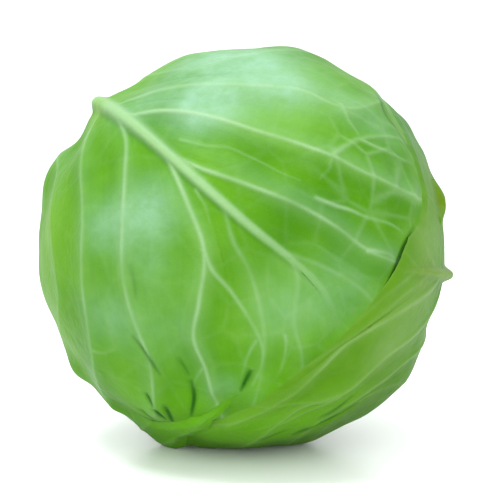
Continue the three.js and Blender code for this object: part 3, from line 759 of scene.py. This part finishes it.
def leaf_faces(leaf, outer, inner):
    """A closed blade: fine outer face, coarser inner face and a rim all round."""
    count = len(outer)
    faces, used = [], {}

    def below(vertex):
        return used.setdefault(int(vertex), count + len(used))

    for grid, flipped in zip(leaf.index, (False, True)):
        def add(face):
            faces.append(tuple(reversed(face)) if flipped else tuple(face))

        a, b, c, d = grid[:-1, :-1], grid[1:, :-1], grid[1:, 1:], grid[:-1, 1:]
        quads = np.stack((a, b, c, d), axis=-1).reshape(-1, 4)
        faces.extend(map(tuple, (quads[:, ::-1] if flipped else quads).tolist()))
        columns, rows = (picked(size, INNER_EVERY) for size in grid.shape)
        for c0, c1 in zip(columns, columns[1:]):
            for r0, r1 in zip(rows, rows[1:]):
                at_base = [grid[0, r] for r in range(r0, r1)] if c0 == 0 else [grid[c0, r0]]
                at_margin = ([grid[c, -1] for c in range(c0, c1)] if r1 == rows[-1] else [grid[c0, r1]])
                add([below(v) for v in (*at_base, *at_margin, grid[c1, r1], grid[c1, r0])])
    smooth_faces = len(faces)
    for grid, flipped in zip(leaf.index, (False, True)):
        for c in range(grid.shape[0] - 1):
            rim_face = (grid[c, -1], grid[c + 1, -1], below(grid[c + 1, -1]), below(grid[c, -1]))
            faces.append(rim_face[::-1] if flipped else rim_face)
        for r in range(grid.shape[1] - 1):
            rim_face = (grid[0, r], grid[0, r + 1], below(grid[0, r + 1]), below(grid[0, r]))
            faces.append(rim_face[::-1] if flipped else rim_face)
    return np.vstack((outer, inner[list(used)])), faces, list(used), smooth_faces


def mesh_piece(name, points, faces, material, attributes=None, smooth_faces=None):
    mesh = bpy.data.meshes.new(name)
    mesh.from_pydata((points * MM).tolist(), [], faces)
    smooth_faces = len(faces) if smooth_faces is None else smooth_faces
    mesh.polygons.foreach_set("use_smooth", np.arange(len(faces)) < smooth_faces)
    for key, values in (attributes or {}).items():
        layer = mesh.attributes.new(key, "FLOAT", "POINT")
        layer.data.foreach_set("value", values.astype(np.float32))
    mesh.materials.append(material)
    mesh.update()
    piece = bpy.data.objects.new(name, mesh)
    bpy.context.scene.collection.objects.link(piece)
    return piece


# Heart and stem

def round_faces(rings, sides, first, last):
    """Faces of a closed body of rings, with one vertex at either end."""
    faces = []
    for ring in range(rings - 1):
        for side in range(sides):
            after = (side + 1) % sides
            a, b = ring * sides + side, ring * sides + after
            faces.append((a, b, b + sides, a + sides))
    for side in range(sides):
        after = (side + 1) % sides
        faces.append((first, after, side))
        top = (rings - 1) * sides
        faces.append((last, top + side, top + after))
    return faces


def heart_piece(leaves, material):
    """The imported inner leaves: rims wound round the stem as low steps, with ribs from the stem."""
    rings, sides = HEART_RINGS, HEART_SIDES
    aways = np.linspace(0, 180, rings + 2)
    turns = np.arange(sides) * 360 / sides
    directions = np.array([around(turn, away) for away in aways[1:-1] for turn in turns]
                          + [stem_axis, -stem_axis])
    away = np.arccos(np.clip(directions @ stem_axis, -1, 1))
    turn = np.arctan2(directions @ stem_up, directions @ stem_right)
    waves = sum(height * np.sin(pitch * away + start) for height, pitch, start in HEART_WAVES)
    spiral = HEART_LEAVES * turn / (2 * math.pi) + HEART_TWIST * away + HEART_LEAVES + waves
    step = spiral - np.floor(spiral)
    cover = sum(leaf.covers(directions) for leaf in leaves)
    lines = []
    for i in range(HEART_LEAVES):
        rule = plain_leaf("", "", 0, turn=40 + 360 * i / HEART_LEAVES, spread=44, reach=125, pairs=5)
        lines.append(spline(rule["midrib"], 300))
        lines += [spline(rib, 200) for ribs in rule["ribs"] for rib in ribs]
    crest, vein = line_relief([(1.0, line) for line in lines], directions, HEART_RIB_HEIGHT, HEART_RIB_WIDTH)
    depth = HEART_DEPTH + HEART_STEP * step * np.sin(away) + cover * (BLADE + LEAF_GAP)
    depth -= crest * np.clip(1 - cover, 0, 1) * 0.8
    beneath = head_radius(directions) - (STEM_ROOT_AT - HEART_STEM_GAP) / np.maximum(np.cos(away), 0.1)
    points = place(directions, np.maximum(depth, beneath))
    count = rings * sides
    faces = round_faces(rings, sides, count, count + 1)
    attributes = dict(vein=vein, margin=np.exp(-(1 - step) * 40), net=net(71, 8, directions, 0.8),
                      tone=0.5 + 0.5 * ripple(directions, 73, RIPPLE_WAVES, 40))
    hand_over(mesh_piece("heart_leaves", points, faces, material, attributes), "heart")


def stem_piece(material):
    """The stump: a taper with leaf scars, and a level cut face with its rings."""
    sides = STEM_SIDES
    turn = np.arange(sides) * 2 * math.pi / sides
    rng = np.random.default_rng(83)
    profile = [(STEM_ROOT_AT + (STEM_CUT_AT - STEM_ROUND - STEM_ROOT_AT) * s,
                STEM_RADIUS_ROOT + (STEM_RADIUS_CUT - STEM_RADIUS_ROOT) * s)
               for s in np.linspace(0, 1, STEM_RINGS)]
    profile += [(STEM_CUT_AT - 0.5, STEM_RADIUS_CUT - 0.3), (STEM_CUT_AT, STEM_RADIUS_CUT - 1)]
    walls = len(profile)
    profile += [(STEM_CUT_AT, (STEM_RADIUS_CUT - 1) * s) for s in np.linspace(0.95, 0.05, CUT_RINGS)]
    points, ring_share, cut = [], [], []
    for i, (at, radius) in enumerate(profile):
        scars = STEM_SCAR_DEPTH * np.maximum(0, np.cos(STEM_SCARS * turn)) * radius / STEM_RADIUS_CUT
        rough = STEM_ROUGH * rng.normal(size=sides) if i < walls - 2 else np.zeros(sides)
        marks = CUT_MARKS * np.abs(np.sin(0.9 * radius * np.cos(turn) + 0.4))
        level = -marks if i >= walls else np.zeros(sides)
        across = (radius - scars + rough)[:, None] * (np.cos(turn)[:, None] * stem_right
                                                     + np.sin(turn)[:, None] * stem_up)
        points.append(across + (at + level)[:, None] * stem_axis)
        ring_share.append(np.full(sides, radius / STEM_RADIUS_ROOT))
        cut.append(np.full(sides, float(i >= walls - 1)))
    points = np.vstack((*points, [STEM_ROOT_AT * stem_axis], [(STEM_CUT_AT - 0.1) * stem_axis]))
    points[:, 2] += HEAD_HEIGHT
    faces = round_faces(len(profile), sides, len(points) - 2, len(points) - 1)
    attributes = dict(ring=np.concatenate((*ring_share, [0, 0])), cut=np.concatenate((*cut, [0, 1])))
    hand_over(mesh_piece("stem_stump", points, faces, material, attributes), "stem")


# Materials

class Nodes:
    """Short calls to add and link shader nodes."""

    def __init__(self, name):
        self.material = bpy.data.materials.new(name)
        self.material.use_nodes = True
        self.tree = self.material.node_tree
        self.shader = self.tree.nodes["Principled BSDF"]

    def add(self, kind, **inputs):
        node = self.tree.nodes.new(kind)
        for key, value in inputs.items():
            self.set(node.inputs[key.replace("_", " ")], value)
        return node

    def set(self, socket, value):
        if isinstance(value, bpy.types.NodeSocket):
            self.tree.links.new(value, socket)
        else:
            socket.default_value = value

    def attribute(self, name):
        node = self.tree.nodes.new("ShaderNodeAttribute")
        node.attribute_name = name
        return node.outputs["Fac"]

    def noise(self, scale, detail=4.0, roughness=0.55):
        where = self.tree.nodes.new("ShaderNodeTexCoord").outputs["Object"]
        return self.add("ShaderNodeTexNoise", Vector=where, Scale=scale, Detail=detail,
                        Roughness=roughness).outputs["Fac"]

    def math(self, operation, a, b):
        node = self.tree.nodes.new("ShaderNodeMath")
        node.operation = operation
        node.use_clamp = True
        self.set(node.inputs[0], a)
        self.set(node.inputs[1], b)
        return node.outputs[0]

    def sum(self, *terms):
        """The weighted sum of values: pairs of value and weight."""
        total = None
        for value, weight in terms:
            part = self.math("MULTIPLY", value, weight)
            total = part if total is None else self.math("ADD", total, part)
        return total

    def mix(self, factor, a, b):
        node = self.tree.nodes.new("ShaderNodeMix")
        node.data_type = "RGBA"
        self.set(node.inputs["Factor"], factor)
        self.set(node.inputs["A"], a)
        self.set(node.inputs["B"], b)
        return node.outputs["Result"]

    def ramp(self, factor, stops):
        node = self.tree.nodes.new("ShaderNodeValToRGB")
        self.set(node.inputs["Fac"], factor)
        elements = node.color_ramp.elements
        for element, (at, colour) in zip(elements, (stops[0], stops[-1])):
            element.position, element.color = at, colour
        for at, colour in stops[1:-1]:
            elements.new(at).color = colour
        return node.outputs["Color"]

    def bump(self, height, strength, distance):
        node = self.add("ShaderNodeBump", Height=height, Strength=strength, Distance=distance)
        self.set(self.shader.inputs["Normal"], node.outputs["Normal"])


def rgb(r, g, b):
    return (r, g, b, 1.0)


VEIN = rgb(0.255, 0.39, 0.215)
# Pale bluish wax bloom, which also serves as painted highlight
BLOOM_AND_HIGHLIGHT = rgb(0.19, 0.345, 0.225)
COOL = rgb(0.050, 0.150, 0.030)
# Lighter green: painted light from below on the lowest parts
PAINTED_UNDERLIGHT = rgb(0.098, 0.300, 0.004)
# Dark green: painted shade in creases and along overlapping margins
PAINTED_SHADE = rgb(0.009, 0.075, 0.001)
GLOSS = 0.05

# Colours of the leaves: blades from dark to light, and what is painted over them
PALETTES = {
    "front_leaf": dict(
        blades=(rgb(0.036, 0.145, 0.001), rgb(0.062, 0.198, 0.003), rgb(0.096, 0.248, 0.014)),
        vein=VEIN, rib=rgb(0.23, 0.365, 0.18), edge=rgb(0.12, 0.26, 0.04),
        warm=rgb(0.115, 0.265, 0.015), bloom_and_highlight=BLOOM_AND_HIGHLIGHT),
    "right_leaf": dict(
        blades=(rgb(0.040, 0.136, 0.001), rgb(0.058, 0.168, 0.002), rgb(0.080, 0.196, 0.006)),
        vein=rgb(0.165, 0.275, 0.085), rib=rgb(0.125, 0.215, 0.035), edge=rgb(0.115, 0.235, 0.03),
        warm=rgb(0.10, 0.16, 0.003), bloom_and_highlight=rgb(0.15, 0.25, 0.075)),
    "lower_leaf": dict(
        blades=(rgb(0.042, 0.158, 0.001), rgb(0.060, 0.198, 0.002), rgb(0.086, 0.235, 0.008)),
        vein=rgb(0.17, 0.30, 0.10), rib=rgb(0.10, 0.24, 0.03), edge=rgb(0.075, 0.22, 0.005),
        warm=rgb(0.09, 0.20, 0.008), bloom_and_highlight=BLOOM_AND_HIGHLIGHT),
    "inner_leaf": dict(
        blades=(rgb(0.06, 0.17, 0.012), rgb(0.085, 0.21, 0.025), rgb(0.12, 0.26, 0.045)),
        vein=rgb(0.26, 0.38, 0.17), rib=rgb(0.20, 0.32, 0.10), edge=rgb(0.24, 0.36, 0.14),
        warm=rgb(0.12, 0.22, 0.02), bloom_and_highlight=BLOOM_AND_HIGHLIGHT),
}


def leaf_material(name, blades, vein, rib, edge, warm, bloom_and_highlight):
    """A waxy leaf: mottled and streaked blade, pale veins, bluish bloom with painted highlights, painted
    light low down, and painted shade on lower flanks, in creases and along margins.
    """
    n = Nodes(name)
    mottled = n.sum((n.attribute("tone"), 0.3), (n.noise(40), 0.42), (n.noise(130), 0.24),
                    (n.attribute("streak"), 0.04))
    colour = n.ramp(mottled, list(zip((0.25, 0.5, 0.75), blades)))
    patchy = n.math("ADD", n.noise(70), 0.25)
    blotches = n.sum((n.noise(60), 0.8), (n.noise(190), 0.7))
    # Painted over the blade: shade on flanks turned from the light, highlight on flanks turned to it and in
    # bloom patches, light from below on the lowest parts, shade in creases and along overlapping margins
    for mask, strength, paint in (
            ("cool", 0.9, COOL), ("deep", patchy, blades[0]), ("painted_shade", 0.85, blades[0]), ("painted_underlight", 0.8, PAINTED_UNDERLIGHT),
            ("bloom_and_highlight", blotches, bloom_and_highlight), ("painted_highlight", 0.25, bloom_and_highlight), ("halo", 0.16, vein), ("net", 0.33, vein),
            ("vein", 0.75, vein), ("rib", 0.75, rib), ("warm", 0.8, warm), ("margin", 0.5, edge),
            ("creases", 1.0, PAINTED_SHADE), ("shadows", 0.85, PAINTED_SHADE)):
        colour = n.mix(n.math("MULTIPLY", n.attribute(mask), strength), colour, paint)
    n.set(n.shader.inputs["Base Color"], colour)
    n.set(n.shader.inputs["Roughness"], n.math("ADD", n.math("MULTIPLY", n.noise(120), 0.16), 0.36))
    n.shader.inputs["Specular IOR Level"].default_value = GLOSS
    n.bump(n.sum((n.noise(900, 3), 0.15), (n.noise(170, 3), 0.85)), 0.5, 0.0014)
    return n.material


def heart_material():
    """Pale packed leaves, mottled, with paler veins and rims."""
    n = Nodes("heart_leaf")
    mottled = n.sum((n.attribute("tone"), 0.6), (n.noise(60), 0.4))
    colour = n.ramp(mottled, [(0.25, rgb(0.20, 0.34, 0.09)), (0.75, rgb(0.28, 0.42, 0.16))])
    colour = n.mix(n.math("MULTIPLY", n.attribute("net"), 0.3), colour, rgb(0.40, 0.50, 0.28))
    colour = n.mix(n.math("MULTIPLY", n.attribute("vein"), 0.7), colour, rgb(0.43, 0.52, 0.31))
    colour = n.mix(n.math("MULTIPLY", n.attribute("margin"), 0.6), colour, rgb(0.40, 0.49, 0.27))
    n.set(n.shader.inputs["Base Color"], colour)
    n.set(n.shader.inputs["Roughness"], n.math("ADD", n.math("MULTIPLY", n.noise(120), 0.2), 0.35))
    n.bump(n.noise(500, 3), 0.3, 0.0004)
    return n.material


def stem_material():
    """Green rind with streaks; cream cut face with a green ring and a dry brown edge."""
    n = Nodes("stem_flesh")
    rind = n.ramp(n.noise(170), [(0.3, rgb(0.20, 0.29, 0.09)), (0.7, rgb(0.33, 0.40, 0.19))])
    wobble = n.sum((n.attribute("ring"), 0.94), (n.noise(240), 0.06))
    face = n.ramp(wobble, [(0.0, rgb(0.44, 0.45, 0.29)), (0.45, rgb(0.46, 0.48, 0.32)),
                           (0.6, rgb(0.33, 0.38, 0.19)), (0.68, rgb(0.44, 0.45, 0.28)),
                           (0.8, rgb(0.25, 0.22, 0.10))])
    face = n.mix(n.math("MULTIPLY", n.noise(700, 2), 0.35), face, rgb(0.33, 0.35, 0.19))
    n.set(n.shader.inputs["Base Color"], n.mix(n.attribute("cut"), rind, face))
    n.set(n.shader.inputs["Roughness"], n.math("ADD", n.math("MULTIPLY", n.noise(300), 0.2), 0.55))
    n.bump(n.noise(1200, 3), 0.4, 0.0004)
    return n.material


MATERIALS = {slot: leaf_material(slot + "_skin", **palette) for slot, palette in PALETTES.items()}
MATERIALS["heart"] = heart_material()
MATERIALS["stem"] = stem_material()


def build_head():
    laid = []
    for shape in LEAVES:
        leaf = Leaf(shape)
        leaf_piece(leaf, laid, MATERIALS[shape["slot"]])
        laid.append(leaf)
    heart_piece(laid, MATERIALS["heart"])
    stem_piece(MATERIALS["stem"])


# Stage, light and camera

def build_stage():
    material = Nodes("studio_white")
    colour = material.ramp(material.noise(3), [(0.0, rgb(0.93, 0.93, 0.93)), (1.0, rgb(0.95, 0.95, 0.95))])
    material.set(material.shader.inputs["Base Color"], colour)
    material.shader.inputs["Roughness"].default_value = 0.28
    half, far = FLOOR_HALF, FLOOR_FAR
    points = np.array([(-half, -half, 0), (half, -half, 0), (half, far, 0), (-half, far, 0)]) / MM
    floor = mesh_piece("studio_floor", points, [(0, 1, 2, 3)], material.material)


def area_light(name, towards, distance, size, power, colour):
    """A round soft light, at a distance from the middle of the head."""
    data = bpy.data.lights.new(name, "AREA")
    data.shape, data.size, data.energy, data.color = "DISK", size, power, colour
    light = bpy.data.objects.new(name, data)
    light.location = Vector((0, 0, HEAD_HEIGHT * MM)) + distance * Vector(towards)
    light.rotation_euler = (-Vector(towards)).to_track_quat("-Z", "Y").to_euler()
    bpy.context.scene.collection.objects.link(light)


def build_light():
    world = bpy.data.worlds.new("studio_world")
    world.use_nodes = True
    background = world.node_tree.nodes["Background"]
    background.inputs["Color"].default_value = SKY_COLOUR
    background.inputs["Strength"].default_value = SKY_STRENGTH
    bpy.context.scene.world = world
    for name, light in LIGHTS.items():
        area_light(name, *light)


def build_camera():
    data = bpy.data.cameras.new("camera")
    camera = bpy.data.objects.new("camera", data)
    focal = VIEW_RADIUS / math.tan(math.asin(1 / VIEW_DISTANCE))
    data.sensor_width = SENSOR
    data.lens = focal / IMAGE_SIZE * SENSOR
    pixel = HEAD_RADIUS * VIEW_DISTANCE / focal
    middle = IMAGE_SIZE / 2
    target = np.array((0, 0, HEAD_HEIGHT))
    target += view_right * (middle - VIEW_CENTRE[0]) * pixel + view_up * (VIEW_CENTRE[1] - middle) * pixel
    eye = target + view_near * HEAD_RADIUS * VIEW_DISTANCE
    camera.location = Vector(eye * MM)
    camera.rotation_euler = Vector(-view_near).to_track_quat("-Z", "Y").to_euler()
    bpy.context.scene.collection.objects.link(camera)
    bpy.context.scene.camera = camera


build_head()
build_stage()
build_light()
build_camera()
bpy.context.scene.view_settings.view_transform = "Standard"
